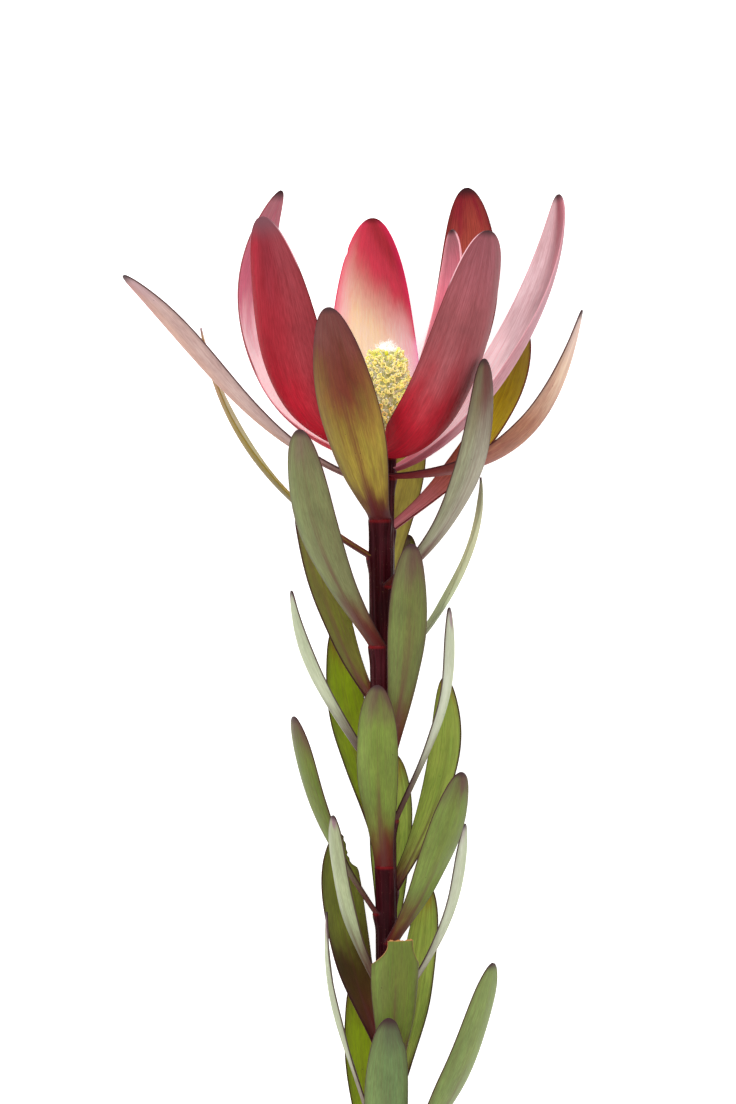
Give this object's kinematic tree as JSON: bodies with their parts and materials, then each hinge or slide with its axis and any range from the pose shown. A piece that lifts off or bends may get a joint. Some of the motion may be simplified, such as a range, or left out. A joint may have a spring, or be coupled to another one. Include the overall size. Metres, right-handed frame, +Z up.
{
  "type": "leucadendron stem",
  "caption": "Cut leucadendron stem lying on a surface: slim woody stem, spiral of leathery leaves, head of broad red and pink bracts round a small yellow cone.",
  "frame": {"origin": "centre of the bounding box at the level of the surface it lies on", "axes": "+Y along the stem towards the flower head, +Z up out of the surface, +X to the right of the head seen from above"},
  "size_m": [0.1594, 0.4322, 0.0967],
  "materials": {
    "stem_bark": "smooth, satin, dark maroon bark",
    "bract_red": "leathery, satin, crimson to mauve",
    "bract_pink": "leathery, satin, pale pink",
    "bract_brown": "leathery, satin, orange brown",
    "bract_olive": "leathery, satin, olive with maroon",
    "leaf_olive": "leathery, satin, olive yellow",
    "leaf_green": "leathery, satin, grey green with a dark margin",
    "cone_yellow": "soft, matte, yellow florets"
  },
  "bodies": {
    "root": {"main_stem": "stem_bark", "flower_cone": "cone_yellow", "bract_inner_right": "bract_red", "bract_back_middle": "bract_red", "bract_front_right": "bract_red", "bract_front_left": "bract_red", "bract_back_right": "bract_red", "bract_back_left": "bract_red", "bract_right": "bract_pink", "bract_outer_right": "bract_brown", "bract_outer_left": "bract_brown", "bract_front_middle": "bract_olive", "bract_low_right": "bract_olive", "leaf_01": "leaf_olive", "leaf_06": "leaf_olive", "leaf_02": "leaf_green", "leaf_03": "leaf_green", "leaf_04": "leaf_green", "leaf_05": "leaf_green", "leaf_07": "leaf_green", "leaf_08": "leaf_green", "leaf_09": "leaf_green", "leaf_10": "leaf_green", "leaf_11": "leaf_green", "leaf_12": "leaf_green", "leaf_13": "leaf_green", "leaf_14": "leaf_green", "leaf_15": "leaf_green", "leaf_16": "leaf_green", "leaf_17": "leaf_green", "leaf_18": "leaf_green", "leaf_19": "leaf_green", "leaf_20": "leaf_green", "leaf_21": "leaf_green", "leaf_22": "leaf_green", "leaf_23": "leaf_green", "leaf_24": "leaf_green", "leaf_25": "leaf_green"}
  },
  "joints": []
}
